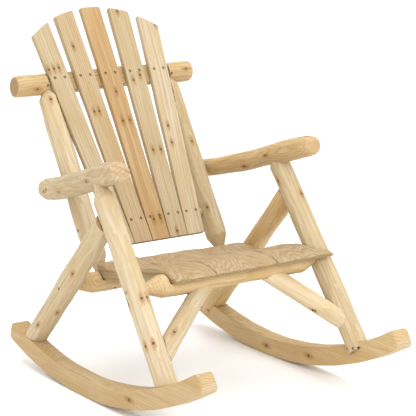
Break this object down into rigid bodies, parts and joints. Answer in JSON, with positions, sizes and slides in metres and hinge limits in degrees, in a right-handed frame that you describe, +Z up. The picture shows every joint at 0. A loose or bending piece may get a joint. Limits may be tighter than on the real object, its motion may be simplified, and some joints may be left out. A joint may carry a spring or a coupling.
{
  "type": "rocking chair",
  "caption": "Rustic rocking chair of peeled logs with a fanned slat back, a carved board seat, round log arms and curved wooden rockers.",
  "frame": {"origin": "on the floor, under the middle of the chair's box", "axes": "+Z up, the sitter faces -Y, +X is the sitter's left hand side"},
  "size_m": [0.6335, 0.9865, 0.9126],
  "materials": {
    "rocker_wood": "peeled or sawn softwood, satin",
    "post_wood": "peeled or sawn softwood, satin",
    "leg_wood": "peeled or sawn softwood, satin",
    "arm_wood": "peeled or sawn softwood, satin",
    "pole_wood": "peeled or sawn softwood, satin",
    "crossbar_wood": "peeled or sawn softwood, satin",
    "slat_wood": "peeled or sawn softwood, satin",
    "seat_wood": "peeled or sawn softwood, satin",
    "rail_wood": "peeled or sawn softwood, satin",
    "brace_wood": "peeled or sawn softwood, satin",
    "screw_steel": "dark countersunk deck screws"
  },
  "bodies": {
    "root": {"left_rocker": "rocker_wood", "left_front_post": "post_wood", "left_rear_leg": "leg_wood", "left_arm": "arm_wood", "left_back_pole": "pole_wood", "left_knee_brace": "brace_wood", "right_rocker": "rocker_wood", "right_front_post": "post_wood", "right_rear_leg": "leg_wood", "right_arm": "arm_wood", "right_back_pole": "pole_wood", "right_knee_brace": "brace_wood", "back_slat_1": "slat_wood", "back_slat_2": "slat_wood", "back_slat_3": "slat_wood", "back_slat_4": "slat_wood", "back_slat_5": "slat_wood", "seat_board_1": "seat_wood", "seat_board_2": "seat_wood", "seat_board_3": "seat_wood", "upper_crossbar": "crossbar_wood", "lower_crossbar": "crossbar_wood", "front_seat_rail": "rail_wood", "rear_seat_rail": "rail_wood", "upper_slat_screws": "screw_steel", "lower_slat_screws": "screw_steel", "crossbar_screws": "screw_steel", "lower_bar_screws": "screw_steel", "arm_screws": "screw_steel", "post_foot_screws": "screw_steel", "leg_foot_screws": "screw_steel", "rail_screws": "screw_steel", "leg_top_screws": "screw_steel", "brace_screws": "screw_steel", "seat_board_screws": "screw_steel"}
  },
  "joints": []
}
